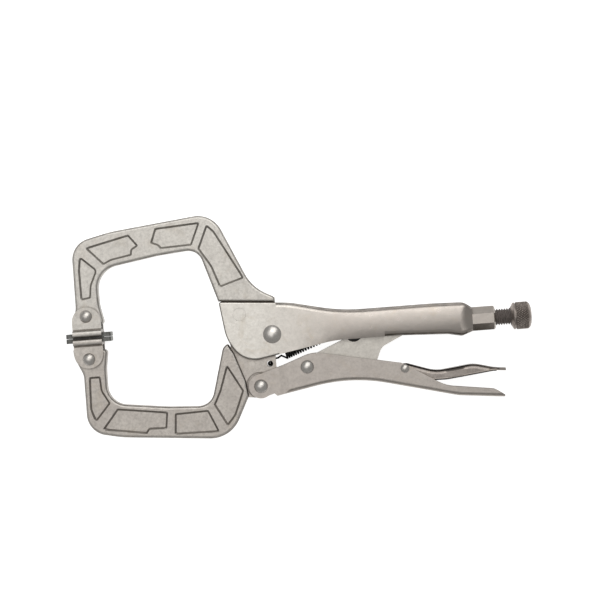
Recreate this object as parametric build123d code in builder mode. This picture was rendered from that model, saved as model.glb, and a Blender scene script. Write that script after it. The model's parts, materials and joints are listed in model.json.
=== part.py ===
"""Locking C clamp with swivel pads, closed and locked.

Frame: millimetres. The origin is the middle of the plane where the two pads meet.
+X runs along the screw axis to the knob, +Y from the lower jaw to the upper jaw,
and +Z is normal to the flat clamp, which lies on its side.
"""
from build123d import *
import os

# ---------------------------------------------------------------- pivots
MAIN_PIVOT = (110.0, -6.0)
LEVER_PIVOT = (101.0, -36.5)
LINK_PIVOT = (129.4, -27.0)
RELEASE_PIVOT = (187.5, -32.3)
PAD_PIVOT_Y = 12.8
ANCHOR_RIVET = (91.3, 7.2)
SPRING_HOLE = (107.4, -23.5)
SPRING_PIN = (147.0, -6.2)
STOP_CENTRE = (158.6, -9.2)
SCREW_Y = -6.0

# ---------------------------------------------------------------- thicknesses, as half widths in Z
JAW_HALF = 6.5
TANG_HALF = 4.75
CHEEK_IN, CHEEK_OUT = 4.9, 7.4
HANDLE_IN, HANDLE_OUT = 7.0, 9.3
EAR_IN, EAR_OUT = 4.9, 6.9
LEVER_IN, LEVER_OUT = 6.0, 8.0
LINK_HALF = 4.5
LINK_BOSS_HALF = 5.8
STOP_HALF = 5.2
RELEASE_OUT = 5.8
TAB_OUT = 8.0
JAW_ROUND = 1.6
POCKET_DEPTH = 1.2
POCKET_DRAFT = 45.0
BEYOND = 30.0

# ---------------------------------------------------------------- fits and fixings
RUNNING = 0.06
MAIN_SHANK_R = 4.0
SHANK_R = 2.6
RELEASE_SHANK_R = 1.6
PAD_SHANK_R = 2.4
ANCHOR_R = 3.9
ANCHOR_PROUD, ANCHOR_CHAMFER = 0.05, 0.1
SPRING_HOLE_R = 1.85
LINK_BOSS_R = 5.2
STOP_R = 5.0
STOP_CHAMFER = 0.5
HEAD_LIP = 0.3
BOSS_R = 10.0
BOSS_GAP = 0.8
EAR_R = 7.3
RELIEF_R = 8.3
EAR_SEAT = (100.2, -35.7)
EAR_SEAT_R, EAR_SEAT_DEPTH = 7.7, 1.5

# ---------------------------------------------------------------- screw, collar and knob
SCREW_R = 4.95
SCREW_START = 196.7
SCREW_END = 262.0
COLLAR_ACROSS_FLATS = 14.2
COLLAR_START, COLLAR_END = 226.0, 243.8
KNOB_START = 253.4
KNOB_PROFILE = [  # (distance from the knob's start, radius)
    (0, 5.4), (1.7, 8.05), (2.4, 8.05), (2.5, 7.4), (3.1, 7.4), (3.2, 8.2), (9.9, 8.2), (11.3, 7.2),
    (12.1, 5.2), (12.3, 3.5),
]
KNOB_BORE_DEPTH = 8.9

# ---------------------------------------------------------------- pads
PAD_GAP = 0.15
PLATE_START, PLATE_END = -12.7, 14.0
PLATE_WIDTH, PLATE_THICK = 17.6, 2.6
BRACKET_LENGTH = 17.2
BRACKET_HALF_Z = 11.3
BRACKET_TOP = 4.5
BRACKET_LIP = 0.6
CREVICE_WIDTH, CREVICE_DEPTH = 0.8, 0.8
PAD_EAR_IN, PAD_EAR_OUT = 6.7, 8.7
PAD_EAR_REACH = 18.3

# ---------------------------------------------------------------- outlines: (x, y, corner radius)
UPPER_ARM = [
    (-9.6, 5.4, 2), (-6.0, 17.5, 12), (-5.9, 56.7, 12.9), (18.1, 62.2, 60), (79.3, 69.0, 15.5),
    (99.9, 23.0, 26), (113.2, 16.0, 2.5), (112.9, 13.1, 0), (79.3, 15.8, 0), (69.3, 48.2, 9.3),
    (45.0, 46.0, 80), (7.6, 40.0, 14), (8.0, 19, 20), (10.3, 8.4, 2), (5.4, 6.0, 3),
]
UPPER_TANG = [(80.6, 18, 0), (81.7, 4.7, 0), (84.6, -7.2, 0.5), (105, 3.7, 0), (113, 3.7, 0), (113, 16, 0)]
UPPER_POCKETS = [
    [(-1.7, 49.6, 1.5), (8.8, 39.9, 3), (4.6, 31, 8), (3.7, 23.4, 1), (-2.7, 22.4, 1), (-2.9, 40, 10)],
    [(1.9, 53.8, 1), (28.7, 59.9, 1), (34.4, 52.6, 1), (30.3, 50.3, 1), (29.9, 47.1, 1),
     (17.4, 44.9, 5), (12.4, 42.6, 1)],
    [(44.6, 62.5, 1), (72.0, 64.2, 1), (66, 50.4, 1), (47.1, 49.7, 1), (45.7, 51.7, 2), (41.2, 53.5, 1)],
    [(75.5, 62.6, 1), (80.0, 58.2, 5), (96.0, 28.7, 1), (80.7, 24.0, 1), (76.1, 37.2, 15), (69.2, 48.2, 1)],
]
LOWER_ARM = [
    (-9.5, -5.4, 2), (5.4, -6.0, 3), (10.9, -8.4, 2), (9.3, -19, 12), (9.1, -40.3, 12), (44.6, -44.8, 80),
    (70.5, -46.3, 10), (80.0, -11.8, 5), (82.9, -9.7, 1), (86.6, -16.0, 2), (92.4, -33, 0),
    (93.4, -41.8, 0), (80.8, -66.5, 18.5), (16.6, -60.9, 60), (-4.1, -56.5, 13),
    (-4.1, -22, 10), (-8.9, -11.5, 8),
]
LOWER_TONGUE = [
    (84.5, -9.9, 0), (105.2, 2.8, 0), (117.5, -12.6, 0), (111, -18, 3), (111, -27, 3),
    (108, -36.5, 0), (101, -43.5, 0), (92, -42.5, 0), (86, -25, 0),
]
LOWER_POCKETS = [
    [(-1.2, -23.4, 1), (5.9, -23.4, 1), (6.4, -32, 6), (10.8, -40, 1), (0.9, -51.2, 1.5), (-1.8, -42.9, 10)],
    [(14.4, -43.3, 1), (44.6, -47.5, 1), (43.3, -57.8, 1), (32.9, -57.4, 1), (31.2, -59.9, 1),
     (4.3, -55.6, 1)],
    [(48.4, -48.8, 1), (68.7, -48.2, 1), (74.8, -62.0, 1), (47.4, -61.6, 1)],
    [(81.5, -21.4, 1), (90.8, -38.4, 1), (85.1, -52.5, 8), (79.5, -59.2, 1), (72.0, -45.4, 1),
     (76.2, -37, 8)],
]
ROOF_START, BARREL_START, BARREL_END = 113.4, 177.0, 230.0
HANDLE_SIDE = [
    (79.4, 15.5, 1.2), (121.8, 12.1, 60), (152.3, 5.1, 110), (206, 5.2, 90), (225.3, 4.6, 8),
    (BARREL_END, 1.2, 0),
    (BARREL_END, -13.1, 0), (223.0, -15.5, 3), (215, -13.9, 30), (180, -12.2, 200), (146.6, -12.4, 60),
    (92.4, -22.0, 16), (82.5, -7.3, 26),
]
HANDLE_PLAN = [
    (70, CHEEK_OUT, 0), (120, CHEEK_OUT, 30), (140, HANDLE_OUT, 60), (224.3, HANDLE_OUT, 8),
    (BARREL_END, COLLAR_ACROSS_FLATS / 2, 0),
]
CAVITY_SIDE = [
    (60, 40, 0), (ROOF_START, 40, 0), (ROOF_START, 10.45, 0), (121.8, 9.8, 60), (152.3, 2.8, 110),
    (206, 2.8, 90),
    (227, 0, 0), (227, -40, 0), (60, -40, 0),
]
CAVITY_PLAN = [
    (60, CHEEK_IN, 0), (120, CHEEK_IN, 30), (140, HANDLE_IN, 60), (215, HANDLE_IN, 15), (227, 5.2, 0),
]
CHEEK_ROUND, ROOF_ROUND, FOOT_ROUND, CAVITY_ROUND = 1.0, 3.0, 3.0, 3.5
COLLAR_CHAMFER = 0.9
LEVER_TOP = [
    (101, -29.2, 0), (115, -25.1, 15), (133.3, -18.5, 20), (186.5, -29.2, 3), (212, -44.7, 22),
    (241, -48.7, 4), (246.3, -52.4, 0.6),
]
LEVER_BOTTOM = [
    (245.9, -53.6, 0.6), (218.5, -50.8, 40), (155.3, -34.8, 100), (110.5, -43.0, 0.8),
    (108.8, -41.4, 0.5), (101, -43.8, 0),
]
LEVER_FLOOR = 2.0
LEVER_ROUND = 2.2
RELEASE_TOP = [
    (165, -31.4, 0), (180, -29.6, 8), (189, -29.2, 4), (205.9, -35.0, 22), (228.6, -32.3, 18),
    (240.5, -35.4, 12), (262, -38.3, 0),
]
RELEASE_UNDER = [
    (160, -33.4, 0), (173.2, -33.4, 0), (190, -36.6, 5), (203, -40.2, 6), (212, -40.4, 20),
    (240.3, -37.2, 12),
    (270, -40.9, 0), (270, -70, 0), (160, -70, 0),
]
RELEASE_START, RELEASE_END = 172.0, 248.0
RELEASE_CORNER = 5.0
RELEASE_SHEET = 1.7
RELEASE_ROUND = 3.0
LINK_OUTLINE = [
    (129.4, -21.8, 0), (168, -5.8, 15), (188.5, -2.5, 3.4), (193.0, -6, 3.4), (190.5, -11.2, 3),
    (174.6, -18.6, 7), (170.9, -27.6, 1.5), (129.4, -32.2, 0),
]

# ---------------------------------------------------------------- return spring
SPRING_START = (117.2, -18.7)
SPRING_END = (140.6, -10.2)
SPRING_R = 3.2
SPRING_WIRE_R = 0.45
SPRING_PIN_R = 1.25

PIECES = []


def keep(part, name):
    """Label a finished piece and add it to those written at the end."""
    part.label = name
    PIECES.append(part)


def outline(corners):
    """Closed face from its corners, each given as (x, y, radius)."""
    points = [(x, y) for x, y, _ in corners]
    radii = [radius for _, _, radius in corners]
    with BuildSketch() as face:
        with BuildLine():
            FilletPolyline(*points, radius=radii, close=True)
        make_face()
    return face.sketch


def plate(corners, half_width):
    """Flat plate of one outline, centred on the clamp's plane."""
    with BuildPart() as body:
        with BuildSketch(Plane.XY):
            add(outline(corners))
        extrude(amount=half_width, both=True)
    return body.part


def mirrored_plan(edge):
    """Both long edges of a plan view from one of them, given as (x, z, radius)."""
    return edge + [(x, -z, radius) for x, z, radius in reversed(edge)]


def side_and_plan(side, plan_edge):
    """Solid that has this outline from the side and this width from above."""
    with BuildPart() as body:
        with BuildSketch(Plane.XY):
            add(outline(side))
        extrude(amount=BEYOND, both=True)
        with BuildSketch(Plane.XZ):
            add(outline(mirrored_plan(plan_edge)))
        extrude(amount=4 * BEYOND, both=True, mode=Mode.INTERSECT)
    return body.part


def drill(centre, radius):
    """Cut a hole along Z through the part being built."""
    with Locations(centre):
        Hole(radius)


def rivet(centre, shank_radius, seat, head_radius, head_height):
    """Rivet along Z with a domed head beyond each seat height."""
    x, y = centre
    lip, top = seat + HEAD_LIP, seat + head_height
    with BuildPart() as body:
        with BuildSketch(Plane((x, y, 0), x_dir=(1, 0, 0), z_dir=(0, -1, 0))):
            with BuildLine():
                TangentArc((0, top), (head_radius, lip), tangent=(1, 0))
                Polyline((head_radius, lip), (head_radius, seat), (shank_radius, seat),
                         (shank_radius, -seat), (head_radius, -seat), (head_radius, -lip))
                TangentArc((0, -top), (head_radius, -lip), tangent=(1, 0))
                Line((0, -top), (0, top))
            make_face()
        revolve(axis=Axis((x, y, 0), (0, 0, 1)))
    return body.part


def raised_faces(part, direction):
    """Faces of a part that look mostly along a direction."""
    return part.faces().filter_by(lambda face: face.normal_at().dot(direction) > 0.8)


def long_edges(faces):
    """Edges of faces that don't cross the clamp's width."""
    return faces.edges().filter_by(lambda edge: abs(edge.tangent_at(0.5).Z) < 0.5)


def stretch_of(part, start, end):
    """The stretch of a part between two places along X."""
    with BuildPart() as piece:
        add(part)
        with Locations(((start + end) / 2, 0, 0)):
            Box(end - start, 4 * BEYOND, 4 * BEYOND, mode=Mode.INTERSECT)
    return piece.part


def pocket_cutters(pockets):
    """Shallow drafted slabs that sink the panels into both flat sides of a jaw."""
    with BuildPart() as cutters:
        for corners in pockets:
            with BuildSketch(Plane.XY.offset(JAW_HALF)):
                add(outline(corners))
            extrude(amount=-POCKET_DEPTH, taper=POCKET_DRAFT)
        mirror(about=Plane.XY)
    return cutters.part


# ================================================================ jaws
def make_upper_jaw():
    """Fixed arm and the tang that sits between the handle's cheeks."""
    with BuildPart() as upper_jaw:
        add(plate(UPPER_ARM, JAW_HALF))
        fillet(upper_jaw.faces().filter_by(Axis.Z).edges(), JAW_ROUND)
        with BuildSketch(Plane.XY):
            add(outline(UPPER_TANG))
            with Locations(MAIN_PIVOT):
                Circle(BOSS_R + BOSS_GAP, mode=Mode.SUBTRACT)
        extrude(amount=TANG_HALF, both=True)
        add(pocket_cutters(UPPER_POCKETS), mode=Mode.SUBTRACT)
        drill((0, PAD_PIVOT_Y), PAD_SHANK_R)
        drill(ANCHOR_RIVET, ANCHOR_R)
    keep(upper_jaw.part, "upper_jaw")


def make_lower_jaw():
    """Swinging arm, cut back around the lever's ears, and its thinner tongue with a seat behind each ear."""
    with BuildPart() as lower_jaw:
        add(plate(LOWER_ARM, JAW_HALF))
        fillet(lower_jaw.faces().filter_by(Axis.Z).edges(), JAW_ROUND)
        with BuildSketch(Plane.XY):
            with Locations(LEVER_PIVOT):
                Circle(RELIEF_R)
        extrude(amount=BEYOND, both=True, mode=Mode.SUBTRACT)
        with BuildSketch(Plane.XY):
            add(outline(LOWER_TONGUE))
            with Locations(MAIN_PIVOT):
                Circle(BOSS_R)
            with Locations(LEVER_PIVOT):
                Circle(EAR_R)
        extrude(amount=TANG_HALF, both=True)
        for side in (1, -1):
            with BuildSketch(Plane.XY.offset(side * TANG_HALF)):
                with Locations(EAR_SEAT):
                    Circle(EAR_SEAT_R)
            extrude(amount=-side * EAR_SEAT_DEPTH, mode=Mode.SUBTRACT)
        add(pocket_cutters(LOWER_POCKETS), mode=Mode.SUBTRACT)
        drill((0, -PAD_PIVOT_Y), PAD_SHANK_R)
        drill(MAIN_PIVOT, MAIN_SHANK_R + RUNNING)
        drill(LEVER_PIVOT, SHANK_R)
        drill(SPRING_HOLE, SPRING_HOLE_R)
    keep(lower_jaw.part, "lower_jaw")


# ================================================================ upper handle
def make_cheeks(whole_handle):
    """Flat front of the handle, its outline rounded on both sides."""
    with BuildPart() as cheeks:
        add(stretch_of(whole_handle, 0, ROOF_START))
        rims = cheeks.faces().filter_by(Axis.Z).edges()
        fillet(rims.filter_by(lambda edge: edge.center().X < ROOF_START - 0.1), CHEEK_ROUND)
    return cheeks.part


def make_barrel(whole_handle):
    """Rear of the handle, rounded above and below."""
    with BuildPart() as barrel:
        add(stretch_of(whole_handle, BARREL_START, BARREL_END))
        fillet(long_edges(raised_faces(barrel.part, Vector(0, 1, 0))), ROOF_ROUND)
        fillet(long_edges(raised_faces(barrel.part, Vector(0, -1, 0))), FOOT_ROUND)
    return barrel.part


def make_handle_cavity():
    """Space inside the handle, open in front and below, rounded under the roof."""
    with BuildPart() as cavity:
        add(side_and_plan(CAVITY_SIDE, CAVITY_PLAN))
        roof_edges = long_edges(raised_faces(cavity.part, Vector(0, 1, 0)))
        fillet(roof_edges.filter_by(lambda edge: edge.center().Y < BEYOND), CAVITY_ROUND)
    return cavity.part


def make_upper_handle():
    """Cheeks, roofed channel, barrel and faceted collar, bored for the screw."""
    whole_handle = side_and_plan(HANDLE_SIDE, HANDLE_PLAN)
    cheeks = make_cheeks(whole_handle)
    barrel = make_barrel(whole_handle)
    cavity = make_handle_cavity()
    with BuildPart() as upper_handle:
        add(stretch_of(whole_handle, ROOF_START, BARREL_START))
        fillet(long_edges(raised_faces(upper_handle.part, Vector(0, 1, 0))), ROOF_ROUND)
        add(cheeks)
        add(barrel)
        with BuildSketch(Plane.YZ.offset(COLLAR_START)):
            with Locations((SCREW_Y, 0)):
                RegularPolygon(COLLAR_ACROSS_FLATS / 2, 8, major_radius=False, rotation=22.5)
        extrude(amount=COLLAR_END - COLLAR_START)
        chamfer(upper_handle.faces().sort_by(Axis.X)[-1].edges(), COLLAR_CHAMFER)
        add(cavity, mode=Mode.SUBTRACT)
        with BuildSketch(Plane.YZ.offset(COLLAR_START - BEYOND / 2)):
            with Locations((SCREW_Y, 0)):
                Circle(SCREW_R + RUNNING)
        extrude(amount=2 * BEYOND, mode=Mode.SUBTRACT)
        drill(MAIN_PIVOT, MAIN_SHANK_R)
        drill(ANCHOR_RIVET, ANCHOR_R)
    keep(upper_handle.part, "upper_handle")


def make_spring_anchor():
    """Cross pin between the handle's walls for the spring's rear hook."""
    with BuildPart() as spring_anchor:
        with BuildSketch(Plane.XY):
            with Locations(SPRING_PIN):
                Circle(SPRING_PIN_R)
        extrude(amount=HANDLE_IN, both=True)
    keep(spring_anchor.part, "spring_anchor")


# ================================================================ screw and knob
def make_adjusting_screw():
    """Plain shank of the M10 screw, as wide as its thread."""
    with BuildPart() as adjusting_screw:
        with BuildSketch(Plane.YZ.offset(SCREW_START)):
            with Locations((SCREW_Y, 0)):
                Circle(SCREW_R)
        extrude(amount=SCREW_END - SCREW_START)
        chamfer(adjusting_screw.faces().sort_by(Axis.X)[0].edges(), 1.2)
    keep(adjusting_screw.part, "adjusting_screw")


def make_adjusting_knob():
    """Knob with a coned collar, a groove and a bevelled head."""
    rim = [(KNOB_START + x, radius) for x, radius in KNOB_PROFILE]
    with BuildPart() as adjusting_knob:
        with BuildSketch(Plane((0, SCREW_Y, 0), x_dir=(1, 0, 0), z_dir=(0, 0, 1))):
            with BuildLine():
                Polyline((rim[0][0], 0), *rim, (rim[-1][0], 0), close=True)
            make_face()
        revolve(axis=Axis((0, SCREW_Y, 0), (1, 0, 0)))
        with BuildSketch(Plane.YZ.offset(KNOB_START)):
            with Locations((SCREW_Y, 0)):
                Circle(SCREW_R + RUNNING)
        extrude(amount=KNOB_BORE_DEPTH, mode=Mode.SUBTRACT)
    keep(adjusting_knob.part, "adjusting_knob")


# ================================================================ lower handle, release lever, link
def make_lower_handle():
    """Channel open above, with two ears around the lever pivot."""
    front_x, far_x = 110.5, 262
    straight_plan = [(100, LEVER_OUT, 0), (far_x, LEVER_OUT, 0)]
    joggled_plan = [(80, EAR_OUT, 0), (112, EAR_OUT, 6), (118, LEVER_OUT, 6), (248, LEVER_OUT, 5)]
    inner_plan = [(80, EAR_IN, 0), (112, EAR_IN, 6), (118, LEVER_IN, 6), (far_x, LEVER_IN, 0)]
    whole_side = LEVER_TOP + LEVER_BOTTOM
    long_side = [(front_x, -26.4, 0)] + LEVER_TOP[1:-2] + [(far_x, -51.6, 0), (far_x, -55.25, 0)]
    long_side += LEVER_BOTTOM[1:3] + [(front_x, -43.0, 0)]
    ear_side = [(101, -29.2, 0), (front_x, -26.4, 0), (front_x, -43, 0), (108.8, -41.4, 0.5),
                (101, -43.8, 0)]
    floor = [(x, y + LEVER_FLOOR, radius) for x, y, radius in LEVER_BOTTOM[1:3]]
    inner_side = [(80, 0, 0), (far_x, 0, 0), (far_x, -53.2, 0)] + floor
    inner_side += [(front_x, -41, 0), (front_x, -60, 0), (80, -60, 0)]
    cavity = side_and_plan(inner_side, inner_plan)
    trim = side_and_plan(whole_side, joggled_plan)
    with BuildPart() as lower_handle:
        add(side_and_plan(long_side, straight_plan))
        fillet(long_edges(raised_faces(lower_handle.part, Vector(0, -1, 0))), LEVER_ROUND)
        add(trim, mode=Mode.INTERSECT)
        with BuildSketch(Plane.XY):
            add(outline(ear_side))
            with Locations(LEVER_PIVOT):
                Circle(EAR_R)
        extrude(amount=EAR_OUT, both=True)
        add(cavity, mode=Mode.SUBTRACT)
        drill(LEVER_PIVOT, SHANK_R + RUNNING)
        drill(LINK_PIVOT, SHANK_R)
        drill(RELEASE_PIVOT, RELEASE_SHANK_R)
    keep(lower_handle.part, "lower_handle")


def make_release_lever():
    """Small channel around its rivet that flares to a thin thumb tab with clipped corners."""
    sheet_plan = [(165, RELEASE_OUT, 0), (212, RELEASE_OUT, 10), (223, TAB_OUT, 10), (262, TAB_OUT, 0)]
    inner_plan = [(x, z - RELEASE_SHEET, radius) for x, z, radius in sheet_plan]
    under_web = [(x, y - RELEASE_SHEET, radius) for x, y, radius in RELEASE_TOP[1:5]]
    inner_side = [(160, -32.6, 0), (172, -32.4, 0)] + under_web + [(240.5, -37.1, 0), (262, -41, 0),
                                                                   (262, -60, 0), (160, -60, 0)]
    cavity = side_and_plan(inner_side, inner_plan)
    with BuildPart() as release_lever:
        add(side_and_plan(RELEASE_TOP + [(262, -60, 0), (165, -60, 0)], sheet_plan))
        fillet(long_edges(raised_faces(release_lever.part, Vector(0, 1, 0))), RELEASE_ROUND)
        add(plate(RELEASE_UNDER, BEYOND), mode=Mode.SUBTRACT)
        with Locations(((RELEASE_START + RELEASE_END) / 2, 0, 0)):
            Box(RELEASE_END - RELEASE_START, 4 * BEYOND, BEYOND, mode=Mode.INTERSECT)
        with BuildSketch(Plane.XZ):
            for side in (1, -1):
                tab_corner = (RELEASE_END, side * TAB_OUT, 0)
                add(outline([(RELEASE_END - RELEASE_CORNER, side * TAB_OUT, 0), tab_corner,
                             (RELEASE_END, side * (TAB_OUT - RELEASE_CORNER), 0)]))
        extrude(amount=4 * BEYOND, both=True, mode=Mode.SUBTRACT)
        add(cavity, mode=Mode.SUBTRACT)
        drill(RELEASE_PIVOT, RELEASE_SHANK_R + RUNNING)
    keep(release_lever.part, "release_lever")


def make_toggle_link():
    """Flat strut with a boss on its rivet, a nose for the screw and a round stop let into its upper edge."""
    with BuildPart() as toggle_link:
        add(plate(LINK_OUTLINE, LINK_HALF))
        with BuildSketch(Plane.XY):
            with Locations(LINK_PIVOT):
                Circle(LINK_BOSS_R)
        extrude(amount=LINK_BOSS_HALF, both=True)
        drill(LINK_PIVOT, SHANK_R + RUNNING)
        drill(STOP_CENTRE, STOP_R)
    keep(toggle_link.part, "toggle_link")
    with BuildPart() as link_stop:
        with BuildSketch(Plane.XY):
            with Locations(STOP_CENTRE):
                Circle(STOP_R)
        extrude(amount=STOP_HALF, both=True)
        chamfer(link_stop.faces().filter_by(Axis.Z).edges(), STOP_CHAMFER)
    keep(link_stop.part, "link_stop")


# ================================================================ spring
def make_return_spring():
    """Closed envelope of the coils with a hook wire at each end."""
    start, end = Vector(*SPRING_START), Vector(*SPRING_END)
    along = (end - start).normalized()
    behind = -(TANG_HALF + 0.65)
    hole = Vector(*SPRING_HOLE)
    front_hook = [start + along, Vector(113.6, -21.6, behind), hole + Vector(0, 0, behind), hole]
    pin = Vector(*SPRING_PIN)
    rear_hook = [end - along, pin - (pin - end).normalized() * (SPRING_PIN_R + SPRING_WIRE_R)]
    with BuildPart() as return_spring:
        with BuildSketch(Plane(start, z_dir=along)):
            Circle(SPRING_R)
        extrude(amount=(end - start).length)
        for hook in (front_hook, rear_hook):
            for tail, head in zip(hook, hook[1:]):
                with BuildSketch(Plane(tail, z_dir=head - tail)):
                    Circle(SPRING_WIRE_R)
                extrude(amount=(head - tail).length)
                with Locations(head):
                    Sphere(SPRING_WIRE_R)
    keep(return_spring.part, "return_spring")


# ================================================================ swivel pads
def make_pad(side, name):
    """Bracket with two ears and rolled lips, and the face plate it holds; side is +1 above."""
    foot = [(PAD_GAP + PLATE_THICK, PLATE_WIDTH / 2 + 0.05, 0), (BRACKET_LIP, PLATE_WIDTH / 2 + 0.05, 0),
            (BRACKET_LIP, BRACKET_HALF_Z, 1.7), (BRACKET_TOP, BRACKET_HALF_Z, 1.7)]
    foot = [(side * y, z, radius) for y, z, radius in foot]
    foot_outline = foot + [(y, -z, radius) for y, z, radius in reversed(foot)]
    arch_r = BRACKET_LENGTH / 2
    ear_base = side * (BRACKET_TOP - 1)
    ear = [(-arch_r, ear_base, 0), (arch_r, ear_base, 0), (arch_r, side * PAD_EAR_REACH, arch_r - 0.01),
           (-arch_r, side * PAD_EAR_REACH, arch_r - 0.01)]
    with BuildPart() as bracket:
        with BuildSketch(Plane.YZ.offset(-BRACKET_LENGTH / 2)):
            add(outline(foot_outline))
        extrude(amount=BRACKET_LENGTH)
        with BuildSketch(Plane.XY.offset(PAD_EAR_IN)):
            add(outline(ear))
        extrude(amount=PAD_EAR_OUT - PAD_EAR_IN)
        mirror(about=Plane.XY)
        for edge in (1, -1):
            with Locations((0, side * (BRACKET_TOP + CREVICE_WIDTH / 2), edge * PAD_EAR_OUT)):
                Box(BRACKET_LENGTH + 1, CREVICE_WIDTH, 2 * CREVICE_DEPTH, mode=Mode.SUBTRACT)
        drill((0, side * PAD_PIVOT_Y), PAD_SHANK_R + RUNNING)
    keep(bracket.part, name + "_pad_bracket")
    with BuildPart() as face_plate:
        with BuildSketch(Plane.XZ.offset(-side * PAD_GAP)):
            with Locations(((PLATE_START + PLATE_END) / 2, 0)):
                RectangleRounded(PLATE_END - PLATE_START, PLATE_WIDTH, 1.2)
        extrude(amount=-side * PLATE_THICK)
    keep(face_plate.part, name + "_pad_plate")
    keep(rivet((0, side * PAD_PIVOT_Y), PAD_SHANK_R, PAD_EAR_OUT + 0.05, 3.6, 1.9), name + "_pad_rivet")


# ================================================================ rivets
def make_rivets():
    """Domed rivets at the pivots and the flush one that anchors the jaw."""
    keep(rivet(MAIN_PIVOT, MAIN_SHANK_R, CHEEK_OUT, 5.4, 2.4), "main_pivot_rivet")
    keep(rivet(LEVER_PIVOT, SHANK_R, EAR_OUT + 0.05, 4.0, 2.2), "lever_pivot_rivet")
    keep(rivet(LINK_PIVOT, SHANK_R, LEVER_OUT, 3.9, 2.1), "link_rivet")
    keep(rivet(RELEASE_PIVOT, RELEASE_SHANK_R, LEVER_OUT, 2.5, 1.3), "release_rivet")
    with BuildPart() as jaw_anchor_rivet:
        with BuildSketch(Plane.XY):
            with Locations(ANCHOR_RIVET):
                Circle(ANCHOR_R)
        extrude(amount=CHEEK_OUT + ANCHOR_PROUD, both=True)
        chamfer(jaw_anchor_rivet.faces().filter_by(Axis.Z).edges(), ANCHOR_CHAMFER)
    keep(jaw_anchor_rivet.part, "jaw_anchor_rivet")


make_upper_jaw()
make_lower_jaw()
make_upper_handle()
make_spring_anchor()
make_adjusting_screw()
make_adjusting_knob()
make_lower_handle()
make_release_lever()
make_toggle_link()
make_return_spring()
make_pad(1, "upper")
make_pad(-1, "lower")
make_rivets()

os.makedirs("parts", exist_ok=True)
for piece in PIECES:
    export_step(piece, "parts/" + piece.label + ".step")
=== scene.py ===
"""Looks for the locking C clamp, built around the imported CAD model. Metres, in its frame."""
import json
from math import cos, pi, radians, sin

import bmesh
import bpy
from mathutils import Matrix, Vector


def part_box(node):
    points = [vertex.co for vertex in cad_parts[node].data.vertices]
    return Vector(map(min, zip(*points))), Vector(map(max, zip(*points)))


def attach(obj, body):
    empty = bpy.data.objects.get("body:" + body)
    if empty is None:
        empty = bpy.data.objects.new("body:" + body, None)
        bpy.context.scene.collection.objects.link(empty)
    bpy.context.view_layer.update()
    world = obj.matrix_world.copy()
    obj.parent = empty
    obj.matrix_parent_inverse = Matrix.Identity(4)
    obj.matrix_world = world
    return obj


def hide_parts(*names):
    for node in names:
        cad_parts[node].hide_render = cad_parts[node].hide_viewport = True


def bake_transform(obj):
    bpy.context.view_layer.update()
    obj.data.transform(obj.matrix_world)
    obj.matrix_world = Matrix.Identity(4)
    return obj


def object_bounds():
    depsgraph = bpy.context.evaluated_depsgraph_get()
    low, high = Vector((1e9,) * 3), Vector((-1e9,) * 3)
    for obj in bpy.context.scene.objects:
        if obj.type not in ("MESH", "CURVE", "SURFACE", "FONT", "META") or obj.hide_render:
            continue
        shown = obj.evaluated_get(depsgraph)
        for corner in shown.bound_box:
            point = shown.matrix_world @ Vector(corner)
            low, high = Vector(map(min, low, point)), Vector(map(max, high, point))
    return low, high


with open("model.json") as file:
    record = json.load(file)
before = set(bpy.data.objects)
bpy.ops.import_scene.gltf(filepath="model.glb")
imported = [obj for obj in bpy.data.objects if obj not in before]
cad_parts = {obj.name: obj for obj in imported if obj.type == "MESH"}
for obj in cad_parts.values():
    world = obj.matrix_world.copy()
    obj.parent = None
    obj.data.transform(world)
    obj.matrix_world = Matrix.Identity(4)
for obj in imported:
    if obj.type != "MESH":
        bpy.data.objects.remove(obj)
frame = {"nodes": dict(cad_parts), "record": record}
CAD_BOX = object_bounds()
MM = 0.001

# ---------------------------------------------------------------- settings
# Colours are linear, with alpha
STAIN = (0.42, 0.35, 0.26, 1)
# Lighter colour for rounded edges: partly real wear, partly a painted highlight
WORN_EDGE_AND_HIGHLIGHT = (0.86, 0.83, 0.78, 1)
# Painted shade on the sides, where they turn away from the flat faces
SIDE_SHADE = (0.11, 0.097, 0.085, 1)
# Painted shade in corners and gaps
CORNER_SHADE = (0.12, 0.095, 0.075, 1)
# Painted shade in the dark metals' corners and gaps
DARK_CORNER_SHADE = (0.03, 0.024, 0.02, 1)
SPECK_TONE = 0.70  # of the dull colour

# How many metres across the features of each noise are
CLOUD_SIZE, STAIN_SIZE, SPECK_SIZE = 0.016, 0.011, 0.0016
SIDE_PATCH_SIZE, SHEEN_SIZE = 0.007, 0.0035
GRAIN_SIZE, WAVE_SIZE = 0.0008, 0.006
DARK_CLOUD_SIZE, DARK_SHEEN_SIZE, DARK_GRAIN_SIZE = 0.004, 0.002, 0.0006

# Along the handle, in metres: where the held tone grows in and where the painted side shade fades
HELD_START, HELD_FULL = 0.100, 0.150
SIDE_FADE_START, SIDE_FADE_END, SIDE_LEFT = 0.228, 0.232, 0.35
CROWN_MIDDLE, CROWN_START, CROWN_FULL, CROWN_END = -0.004, 0.120, 0.165, 0.2265
CROWN_FADE, CROWN_DEPTH = 0.004, 15.0

# Screw and knob
PITCH, THREAD_DEPTH, STEPS_PER_TURN = 1.5 * MM, 0.8 * MM, 40
RIDGES, COLUMNS_PER_RIDGE, KNURL_ROWS = 34, 6, 30
KNURL_DEPTH, KNURL_SLANT, KNURL_STEEPNESS = 0.45 * MM, 1.25, 1.6
KNURL_FROM_NECK, KNURL_FROM_END = 3.3 * MM, 2.4 * MM
# Millimetres from that end of the knob, and radius
NECK = [(0, 5.1), (0, 5.4), (1.5, 7.9), (1.8, 8.05), (2.35, 8.05), (2.45, 7.95), (2.5, 7.45),
        (3.1, 7.45), (3.15, 7.9)]
BEVEL = [(2.1, 8.05), (1.6, 7.7), (1.0, 7.15), (0.55, 6.2), (0.2, 5.15), (0.05, 4.2), (0, 3.4),
         (0, 0.01)]

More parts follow.
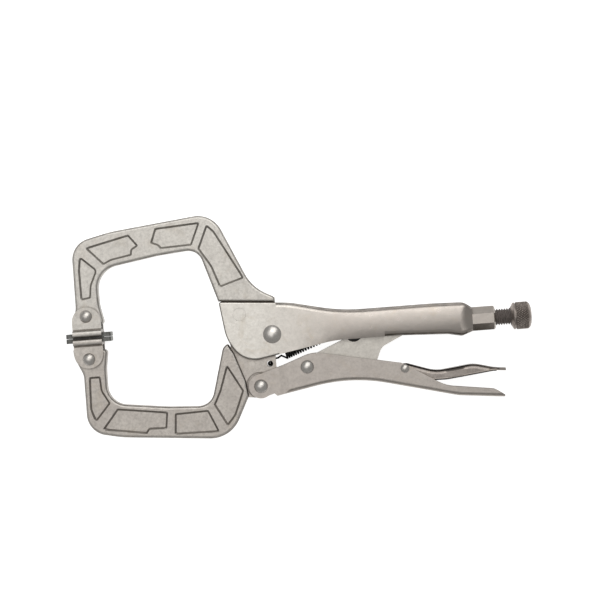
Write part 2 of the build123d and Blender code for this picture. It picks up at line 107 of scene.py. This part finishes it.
# Spring: the tongue's hole, the ends of the coils and the anchor pin, in the CAD's millimetres
HOLE, COIL_START = Vector((107.4, -23.5, 0)) * MM, Vector((117.2, -18.7, 0)) * MM
COIL_END, PIN = Vector((140.6, -10.2, 0)) * MM, Vector((147.0, -6.2, 0)) * MM
WIRE_RADIUS, COIL_RADIUS = 0.58 * MM, 2.6 * MM
COILS, STEPS_PER_COIL, EYE_STEPS, HOOK_STEPS = 15, 24, 22, 8
# In plain millimetres: the eye's radius and its place behind the clamp's middle plane
EYE_RADIUS, BEHIND = 1.75, -5.4

# Camera, light and table
CAMERA_CENTRE, CAMERA_HEIGHT, CAMERA_ROLL = (0.1281, 0.0131), 1.4, radians(-4.3)
VIEW_WIDTH, SENSOR_WIDTH = 0.360, 36.0
LIT_POINT = (0.128, 0.013, 0.0)
WORLD_LIGHT, FLOOR_GLOW = 0.35, 0.85
FLOOR_HALF_WIDTH, FLOOR_DROP = 3.0, 0.1 * MM
WHITE = (1, 1, 1, 1)


# ---------------------------------------------------------------- small helpers
def node_box(node):
    """Lowest and highest corner of a CAD node, as vectors."""
    low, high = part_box(node)
    return Vector(low), Vector(high)


def linked(name, data):
    """A new object with this data, in the scene."""
    piece = bpy.data.objects.new(name, data)
    bpy.context.scene.collection.objects.link(piece)
    return piece


def mesh_object(name, vertices, faces, material, smooth=True):
    """A mesh piece from vertices and faces, normals outward."""
    mesh = bpy.data.meshes.new(name)
    mesh.from_pydata([tuple(vertex) for vertex in vertices], [], faces)
    shape = bmesh.new()
    shape.from_mesh(mesh)
    bmesh.ops.remove_doubles(shape, verts=shape.verts, dist=1e-7)
    bmesh.ops.dissolve_degenerate(shape, edges=shape.edges, dist=1e-7)
    bmesh.ops.recalc_face_normals(shape, faces=shape.faces)
    shape.to_mesh(mesh)
    shape.free()
    mesh.polygons.foreach_set("use_smooth", [smooth] * len(mesh.polygons))
    mesh.materials.append(material)
    return linked(name, mesh)


def settle(piece, body, slot, *nodes):
    """Make a piece ride a body, standing for CAD nodes if any are named; the slot is not used."""
    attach(piece, body)
    if nodes:
        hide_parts(*nodes)


def tube(name, path, radius, material):
    """Round wire along a path, as a mesh."""
    curve = bpy.data.curves.new(name + "_path", "CURVE")
    curve.dimensions = "3D"
    curve.bevel_depth = radius
    curve.bevel_resolution = 3
    curve.use_fill_caps = True
    spline = curve.splines.new("POLY")
    spline.points.add(len(path) - 1)
    for point, position in zip(spline.points, path):
        point.co = (*position, 1)
    holder = linked(name + "_path", curve)
    bpy.context.view_layer.update()
    mesh = bpy.data.meshes.new_from_object(holder)
    bpy.data.objects.remove(holder)
    mesh.name = name
    mesh.polygons.foreach_set("use_smooth", [True] * len(mesh.polygons))
    mesh.materials.clear()
    mesh.materials.append(material)
    return linked(name, mesh)


def arc(centre, first, second, radius, start, end, steps):
    """Points along an arc in the plane of two unit vectors, angles in radians."""
    turns = [start + (end - start) * k / steps for k in range(steps + 1)]
    return [centre + (first * cos(turn) + second * sin(turn)) * radius for turn in turns]


# ---------------------------------------------------------------- materials
class Graph:
    """A material's node tree, with short names for the nodes that it uses."""

    def __init__(self, name):
        self.material = bpy.data.materials.new(name)
        self.material.use_nodes = True
        self.nodes = self.material.node_tree.nodes
        self.links = self.material.node_tree.links
        self.nodes.clear()
        self.position = self.nodes.new("ShaderNodeTexCoord").outputs["Object"]

    def add(self, kind, inputs=None, **settings):
        """A node with its settings; each input is a constant or another node's output."""
        node = self.nodes.new(kind)
        for key, value in settings.items():
            setattr(node, key, value)
        for key, value in (inputs or {}).items():
            self.feed(node.inputs[key], value)
        return node

    def feed(self, socket, value):
        """Link an output to a socket, or set a constant on it."""
        if isinstance(value, bpy.types.NodeSocket):
            self.links.new(value, socket)
        else:
            socket.default_value = value

    def noise(self, feature, detail=4.0, rough=0.5, distort=0.0):
        """Noise whose features are about this many metres across."""
        inputs = {"Vector": self.position, "Scale": 1.0 / feature, "Detail": detail,
                  "Roughness": rough, "Distortion": distort}
        return self.add("ShaderNodeTexNoise", inputs).outputs["Fac"]

    def remap(self, value, low, high, to_low=0.0, to_high=1.0):
        """Straight ramp between two values, held at both ends."""
        inputs = {"Value": value, "From Min": low, "From Max": high,
                  "To Min": to_low, "To Max": to_high}
        return self.add("ShaderNodeMapRange", inputs).outputs["Result"]

    def maths(self, operation, first, second):
        return self.add("ShaderNodeMath", {0: first, 1: second}, operation=operation).outputs[0]

    def product(self, first, second):
        return self.maths("MULTIPLY", first, second)

    def mix(self, amount, first, second):
        """Colour from first to second by an amount."""
        node = self.add("ShaderNodeMix", data_type="RGBA", blend_type="MIX")
        self.feed(node.inputs[0], amount)
        self.feed(node.inputs[6], first)
        self.feed(node.inputs[7], second)
        return node.outputs[2]

    def bump(self, height, distance, strength=1.0, normal=None):
        inputs = {"Height": height, "Distance": distance, "Strength": strength}
        if normal is not None:
            inputs["Normal"] = normal
        return self.add("ShaderNodeBump", inputs).outputs["Normal"]

    def along(self):
        """How far along the clamp, in metres."""
        return self.add("ShaderNodeSeparateXYZ", {0: self.position}).outputs["X"]

    def flatness(self):
        """1 on the clamp's flat sides, 0 on surfaces square to them."""
        normal = self.add("ShaderNodeTexCoord").outputs["Normal"]
        across = self.add("ShaderNodeSeparateXYZ", {0: normal}).outputs["Z"]
        return self.add("ShaderNodeMath", {0: across}, operation="ABSOLUTE").outputs[0]

    def crown(self):
        """Height that falls off square with distance from the handle's middle line."""
        at = self.add("ShaderNodeSeparateXYZ", {0: self.position})
        away = self.maths("SUBTRACT", at.outputs["Y"], CROWN_MIDDLE)
        grown = self.product(self.remap(at.outputs["X"], CROWN_START, CROWN_FULL),
                             self.remap(at.outputs["X"], CROWN_END, CROWN_END - CROWN_FADE))
        return self.product(self.product(away, away), self.product(grown, -1.0))

    def crevice(self, distance):
        """Mask for painted shade: 1 in the open, towards 0 in corners and gaps."""
        node = self.add("ShaderNodeAmbientOcclusion", {"Distance": distance}, samples=8)
        return node.outputs["AO"]

    def finish(self, colour, roughness, normal, **fixed):
        """Shade the surface; fixed names more inputs of the shader, in lower case."""
        inputs = {"Base Color": colour, "Roughness": roughness}
        shader = self.add("ShaderNodeBsdfPrincipled", inputs)
        if normal is not None:
            self.links.new(normal, shader.inputs["Normal"])
        for key, value in fixed.items():
            shader.inputs[key.replace("_", " ").title()].default_value = value
        out = self.nodes.new("ShaderNodeOutputMaterial")
        self.links.new(shader.outputs["BSDF"], out.inputs["Surface"])
        return self.material


def nickel(name, clean, dull, stained, grain_height, roughness, side_dark=0.9, side_end=0.92,
           wear_and_highlight=0.0, speckle=0.45, gaps=0.85, held=None):
    """Satin nickel plate on steel: cloudy, stained and speckled, with edges brightened by wear and
    by a painted highlight.

    Its sides, up to the flatness side_end, carry painted shade, and so do its gaps. With a held
    colour it also darkens along the handle and gets the handle's gentle crown.
    """
    graph = Graph(name)
    tone = graph.mix(graph.remap(graph.noise(CLOUD_SIZE, 5, 0.6), 0.3, 0.72), clean, dull)
    if held:
        grown = graph.remap(graph.along(), HELD_START, HELD_FULL)
        tone = graph.mix(grown, tone, held)
    stains = graph.noise(STAIN_SIZE, 6, 0.65, distort=0.6)
    tone = graph.mix(graph.remap(stains, 0.54, 0.74, 0.0, stained), tone, STAIN)
    specks = graph.remap(graph.noise(SPECK_SIZE, 4, 0.75), 0.42, 0.66, 0.0, speckle)
    tone = graph.mix(specks, tone, tuple(SPECK_TONE * part for part in dull[:3]) + (1,))

    flatness = graph.flatness()
    # Rounded edges turn lighter: partly real wear, partly a painted highlight
    rim = graph.product(graph.remap(flatness, 0.998, 0.95, 0.0, wear_and_highlight),
                        graph.remap(flatness, 0.75, 0.9))
    tone = graph.mix(rim, tone, WORN_EDGE_AND_HIGHLIGHT)
    # Painted shade on the sides, patchy, fading at the handle's end
    side = graph.product(graph.remap(flatness, 0.55, side_end, side_dark, 0.0),
                         graph.remap(flatness, 0.0, 0.3, 0.5, 1.0))
    patches = graph.remap(graph.noise(SIDE_PATCH_SIZE, 3, 0.6), 0.35, 0.6, 0.55, 1.0)
    side = graph.product(side, patches)
    if held:
        fade = graph.remap(graph.along(), SIDE_FADE_START, SIDE_FADE_END, 1.0, SIDE_LEFT)
        side = graph.product(side, fade)
    tone = graph.mix(side, tone, SIDE_SHADE)
    # Painted shade in corners and gaps, from occlusion
    corner = graph.remap(graph.crevice(0.0022), 0.25, 0.8, gaps, 0.0)
    tone = graph.mix(corner, tone, CORNER_SHADE)

    sheen = graph.remap(graph.noise(SHEEN_SIZE, 4, 0.6), 0.3, 0.7, *roughness)
    normal = graph.bump(graph.noise(GRAIN_SIZE, 3, 0.6), grain_height)
    normal = graph.bump(graph.noise(WAVE_SIZE, 2, 0.5), 0.00012, 0.6, normal)
    if held:
        normal = graph.bump(graph.crown(), CROWN_DEPTH, 1.0, normal)
    return graph.finish(tone, sheen, normal, metallic=1.0)


def dark_metal(name, clean, dull, roughness, grain_height, metallic, reach=0.0025, gaps=0.75):
    """Dark metal with a cloudy tone, a fine grain and painted shade in its corners."""
    graph = Graph(name)
    cloud = graph.remap(graph.noise(DARK_CLOUD_SIZE, 5, 0.6), 0.35, 0.68)
    tone = graph.mix(cloud, clean, dull)
    # Painted shade in corners and gaps, from occlusion
    corner = graph.remap(graph.crevice(reach), 0.25, 0.95, gaps, 0.0)
    tone = graph.mix(corner, tone, DARK_CORNER_SHADE)
    sheen = graph.remap(graph.noise(DARK_SHEEN_SIZE, 3), 0.3, 0.7,
                        roughness - 0.08, roughness + 0.1)
    normal = graph.bump(graph.noise(DARK_GRAIN_SIZE, 3, 0.6), grain_height)
    return graph.finish(tone, sheen, normal, metallic=metallic)


FORGED = nickel("forged_nickel", (0.66, 0.63, 0.58, 1), (0.58, 0.55, 0.505, 1),
                stained=0.35, grain_height=0.00006, roughness=(0.40, 0.52), wear_and_highlight=0.35, speckle=0.6)
# Painted shade: a darker copy of the forged nickel, for the lower jaw and its pad bracket
FORGED_SHADED = nickel("forged_nickel_shaded", (0.57, 0.53, 0.48, 1), (0.49, 0.45, 0.41, 1),
                    stained=0.4, grain_height=0.00006, roughness=(0.40, 0.52), wear_and_highlight=0.35,
                    speckle=0.6)
CHEEK = nickel("handle_nickel", (0.66, 0.63, 0.58, 1), (0.59, 0.56, 0.51, 1),
               stained=0.5, grain_height=0.00002, roughness=(0.27, 0.38), side_dark=1.0,
               side_end=0.96, held=(0.46, 0.415, 0.375, 1))
ANCHOR = nickel("anchor_nickel", (0.66, 0.63, 0.58, 1), (0.59, 0.56, 0.51, 1),
                stained=0.5, grain_height=0.00002, roughness=(0.30, 0.42), side_dark=0.2, gaps=0.2)
LEVER = nickel("lever_nickel", (0.47, 0.43, 0.39, 1), (0.43, 0.39, 0.355, 1),
               stained=0.3, grain_height=0.00002, roughness=(0.32, 0.44), side_dark=0.35)
RELEASE = nickel("release_nickel", (0.31, 0.28, 0.255, 1), (0.19, 0.165, 0.148, 1),
                 stained=0.5, grain_height=0.00002, roughness=(0.14, 0.22), side_dark=1.0,
                 side_end=0.97)
LINK = nickel("link_nickel", (0.56, 0.53, 0.48, 1), (0.51, 0.48, 0.435, 1),
              stained=0.2, grain_height=0.00002, roughness=(0.32, 0.44))
RIVET = nickel("rivet_nickel", (0.70, 0.67, 0.63, 1), (0.60, 0.57, 0.53, 1),
               stained=0.3, grain_height=0.00001, roughness=(0.28, 0.36), side_dark=0.7,
               side_end=0.8)
SCREW = dark_metal("screw_zinc", (0.36, 0.315, 0.285, 1), (0.26, 0.225, 0.20, 1),
                   roughness=0.46, grain_height=0.00003, metallic=1.0)
THREAD = dark_metal("thread_zinc", (0.20, 0.17, 0.155, 1), (0.15, 0.13, 0.118, 1),
                    roughness=0.65, grain_height=0.00003, metallic=0.4, gaps=0.3)
SPRING = dark_metal("spring_black", (0.012, 0.012, 0.012, 1), (0.03, 0.028, 0.026, 1),
                    roughness=0.42, grain_height=0.00001, metallic=0.6)
PAD = dark_metal("pad_grey", (0.19, 0.19, 0.18, 1), (0.11, 0.11, 0.10, 1),
                 roughness=0.5, grain_height=0.00007, metallic=0.9, reach=0.006)
# Near-black sheet of painted shade for the gap between the pads
GAP_SHADE_SHEET = dark_metal("pad_gap_shade", (0.02, 0.014, 0.01, 1), (0.035, 0.025, 0.02, 1),
                   roughness=0.7, grain_height=0.00005, metallic=0.0)
NODE_MATERIALS = {
    "upper_jaw": FORGED, "upper_pad_bracket": FORGED,
    "lower_jaw": FORGED_SHADED, "lower_pad_bracket": FORGED_SHADED,
    "upper_handle": CHEEK, "jaw_anchor_rivet": ANCHOR, "lower_handle": LEVER,
    "release_lever": RELEASE, "toggle_link": LINK, "link_stop": SPRING,
    "adjusting_screw": SCREW, "adjusting_knob": SCREW,
    "return_spring": SPRING, "spring_anchor": SCREW,
    "upper_pad_plate": PAD, "lower_pad_plate": PAD,
}


def paint_cad_nodes():
    """Give every CAD node its material: the rivets' own, where none is listed."""
    for entry in frame["record"]["subparts"]:
        mesh = frame["nodes"][entry["node"]].data
        mesh.materials.clear()
        mesh.materials.append(NODE_MATERIALS.get(entry["node"], RIVET))


# ---------------------------------------------------------------- pieces
def thread_section(major, minor):
    """Axial offset and radius of one thread, crest and root flattened."""
    return [(0.0, minor), (0.10 * PITCH, minor), (0.44 * PITCH, major), (0.56 * PITCH, major),
            (0.90 * PITCH, minor)]


def make_screw():
    """Screw with a real helical thread, its threads joined at their roots."""
    low, high = node_box("adjusting_screw")
    axis_y = (low.y + high.y) / 2
    major = (high.y - low.y) / 2
    section = thread_section(major, major - THREAD_DEPTH)
    turns = int((high.x - low.x) / PITCH) + 2
    rows = turns * STEPS_PER_TURN + 1
    vertices = []
    for row in range(rows):
        turn = 2 * pi * row / STEPS_PER_TURN
        for offset, radius in section:
            x = low.x - PITCH + PITCH * row / STEPS_PER_TURN + offset
            x = min(max(x, low.x), high.x)
            vertices.append((x, axis_y + radius * cos(turn), radius * sin(turn)))
    count = len(section)
    faces = []
    for row in range(rows - 1):
        for k in range(count - 1):
            a = row * count + k
            faces.append((a, a + count, a + count + 1, a + 1))
        if row + STEPS_PER_TURN < rows - 1:
            a, b = row * count + count - 1, (row + STEPS_PER_TURN) * count
            faces.append((a, a + count, b + count, b))
    screw = mesh_object("screw_thread", vertices, faces, THREAD, smooth=False)
    settle(screw, "adjusting_screw", "screw_steel", "adjusting_screw")


def knob_profile(start, end, radius):
    """Half outline of the knob from its neck to its bevelled end: (x, radius, knurl depth)."""
    widest = radius - 0.15 * MM
    outline = [(start + x * MM, min(r * MM, widest), 0) for x, r in NECK]
    first, last = start + KNURL_FROM_NECK, end - KNURL_FROM_END
    for k in range(KNURL_ROWS):
        outline.append((first + (last - first) * k / (KNURL_ROWS - 1), radius, KNURL_DEPTH))
    return outline + [(end - x * MM, r * MM, 0) for x, r in BEVEL]


def make_knob():
    """Knob with a diamond knurl cut into its rim."""
    low, high = node_box("adjusting_knob")
    axis_y = (low.y + high.y) / 2
    outline = knob_profile(low.x, high.x, (high.y - low.y) / 2)
    columns = RIDGES * COLUMNS_PER_RIDGE
    knurl_pitch = 2 * pi * (high.y - low.y) / 2 / RIDGES
    vertices = []
    for x, radius, depth in outline:
        for column in range(columns):
            turn = 2 * pi * column / columns
            around = RIDGES * turn / (2 * pi)
            along = (x - low.x) / (knurl_pitch * KNURL_SLANT)
            waves = [abs(((around + sign * along) % 1.0) * 2 - 1) for sign in (1, -1)]
            r = radius - depth * (1 - min(1.0, KNURL_STEEPNESS * min(waves)))
            vertices.append((x, axis_y + r * cos(turn), r * sin(turn)))
    faces = []
    for row in range(len(outline) - 1):
        for column in range(columns):
            a, b = row * columns + column, row * columns + (column + 1) % columns
            faces.append((a, b, b + columns, a + columns))
    knob = mesh_object("knurled_knob", vertices, faces, SCREW, smooth=False)
    settle(knob, "adjusting_knob", "screw_steel", "adjusting_knob")


def front_hook():
    """Wire from a spiral eye behind the tongue's hole out to the first coil."""
    eye = []
    for k in range(1, EYE_STEPS + 1):
        reach, turn = EYE_RADIUS * k / EYE_STEPS, (k - 19) * pi / 6
        eye.append(HOLE + Vector((reach * cos(turn), reach * sin(turn), BEHIND)) * MM)
    neck = [(0.9, 2.0, BEHIND), (2.6, 2.6, BEHIND), (5.0, 2.9, -4.0), (7.0, 4.2, -3.0)]
    return eye + [HOLE + Vector(step) * MM for step in neck]


def make_spring():
    """Tension spring with an eye and a hook, its turns a little closer at the eye's end."""
    along = (COIL_END - COIL_START).normalized()
    across, up = Vector((-along.y, along.x, 0)), Vector((0, 0, 1))
    path = front_hook()
    for k in range(COILS * STEPS_PER_COIL + 1):
        t = k / (COILS * STEPS_PER_COIL)
        reach = (COIL_END - COIL_START).length * (0.8 * t + 0.2 * t * t)
        turn = 2 * pi * k / STEPS_PER_COIL - pi / 2
        path.append(COIL_START + along * reach + across * COIL_RADIUS * sin(turn)
                    + up * COIL_RADIUS * cos(turn))
    path += arc(PIN, along, across, EYE_RADIUS * MM, 1.15 * pi, -0.2 * pi, HOOK_STEPS)
    spring = tube("coil_spring", path, WIRE_RADIUS, SPRING)
    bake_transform(spring)
    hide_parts("return_spring")


def lower_rim(node, first, last, steps):
    """Lowest outer edge of a CAD node at even steps along X, on its +Z side."""
    rim = []
    for k in range(steps + 1):
        x = first + (last - first) * k / steps
        section = bmesh.new()
        section.from_mesh(frame["nodes"][node].data)
        parts = section.verts[:] + section.edges[:] + section.faces[:]
        cut = bmesh.ops.bisect_plane(section, geom=parts, plane_co=(x, 0, 0), plane_no=(1, 0, 0))
        spots = [item.co.copy() for item in cut["geom_cut"] if isinstance(item, bmesh.types.BMVert)]
        section.free()
        lowest = min(spot.y for spot in spots)
        outer = max(spot.z for spot in spots if spot.y < lowest + 0.3 * MM)
        rim.append(Vector((x, lowest, outer)))
    return rim


def make_release_rims():
    """Rolled lower edges of the release lever, one on each side."""
    low, high = node_box("release_lever")
    radius, lift, inset = 0.85 * MM, 0.35 * MM, 0.75 * MM
    rim = lower_rim("release_lever", low.x + 22 * MM, high.x - 6 * MM, 24)
    for side, name in ((1, "release_rim_upper"), (-1, "release_rim_lower")):
        path = [Vector((spot.x, spot.y + lift, side * (spot.z - inset))) for spot in rim]
        settle(tube(name, path, radius, RELEASE), "release_lever", "pressed_steel")


def make_pad_gap_shade():
    """Thin dark sheet of painted shade between the two pad faces, a hair short of the upper one."""
    low, high = node_box("lower_pad_plate")
    sunk, clear, inset = 0.05 * MM, 0.04 * MM, 0.3 * MM
    ceiling = node_box("upper_pad_plate")[0].y - clear
    left, right = node_box("lower_pad_bracket")
    corners = [Vector((x, y, z)) for x in (left.x, right.x) for y in (high.y - sunk, ceiling)
               for z in (low.z + inset, high.z - inset)]
    shape = bmesh.new()
    bmesh.ops.convex_hull(shape, input=[shape.verts.new(corner) for corner in corners])
    bmesh.ops.bevel(shape, geom=shape.edges[:], offset=0.05 * MM, segments=2, affect="EDGES")
    mesh = bpy.data.meshes.new("pad_gap_shade")
    shape.to_mesh(mesh)
    shape.free()
    mesh.materials.append(GAP_SHADE_SHEET)
    settle(linked("pad_gap_shade", mesh), "lower_pad", "pad_steel")


# ---------------------------------------------------------------- stage
def make_camera():
    """Camera straight above the clamp, rolled a little."""
    camera = bpy.data.cameras.new("camera")
    camera.sensor_width = SENSOR_WIDTH
    camera.lens = camera.sensor_width * CAMERA_HEIGHT / VIEW_WIDTH
    holder = linked("camera", camera)
    holder.location = (*CAMERA_CENTRE, CAMERA_HEIGHT)
    holder.rotation_euler = (0, 0, CAMERA_ROLL)
    bpy.context.scene.camera = holder


def area_light(name, position, size, power):
    """Square soft light that looks at the clamp."""
    light = bpy.data.lights.new(name, "AREA")
    light.size = size
    light.energy = power
    holder = linked(name, light)
    holder.location = position
    away = Vector(LIT_POINT) - Vector(position)
    holder.rotation_euler = away.to_track_quat("-Z", "Y").to_euler()


def make_stage():
    """Glowing white table under the clamp, soft lights and a dim world."""
    area_light("overhead", (-0.25, 0.35, 2.1), 1.9, 10.8)
    area_light("key", (0.43, 0.91, 1.15), 1.2, 7)
    world = bpy.data.worlds.new("studio")
    world.use_nodes = True
    background = world.node_tree.nodes["Background"]
    background.inputs["Color"].default_value = WHITE
    background.inputs["Strength"].default_value = WORLD_LIGHT
    bpy.context.scene.world = world
    bpy.context.scene.view_settings.view_transform = "Standard"
    graph = Graph("pale_floor")
    tone = graph.mix(graph.noise(0.3, 2), (0.62, 0.62, 0.62, 1), (0.58, 0.58, 0.58, 1))
    sheen = graph.remap(graph.noise(0.05, 2), 0, 1, 0.7, 0.8)
    material = graph.finish(tone, sheen, None, emission_color=WHITE,
                            emission_strength=FLOOR_GLOW)
    height, side = CAD_BOX[0][2] - FLOOR_DROP, FLOOR_HALF_WIDTH
    corners = [(-side, -side, height), (side, -side, height), (side, side, height),
               (-side, side, height)]
    floor = mesh_object("floor", corners, [(0, 1, 2, 3)], material)


make_camera()
make_stage()
paint_cad_nodes()
make_screw()
make_knob()
make_spring()
make_release_rims()
make_pad_gap_shade()
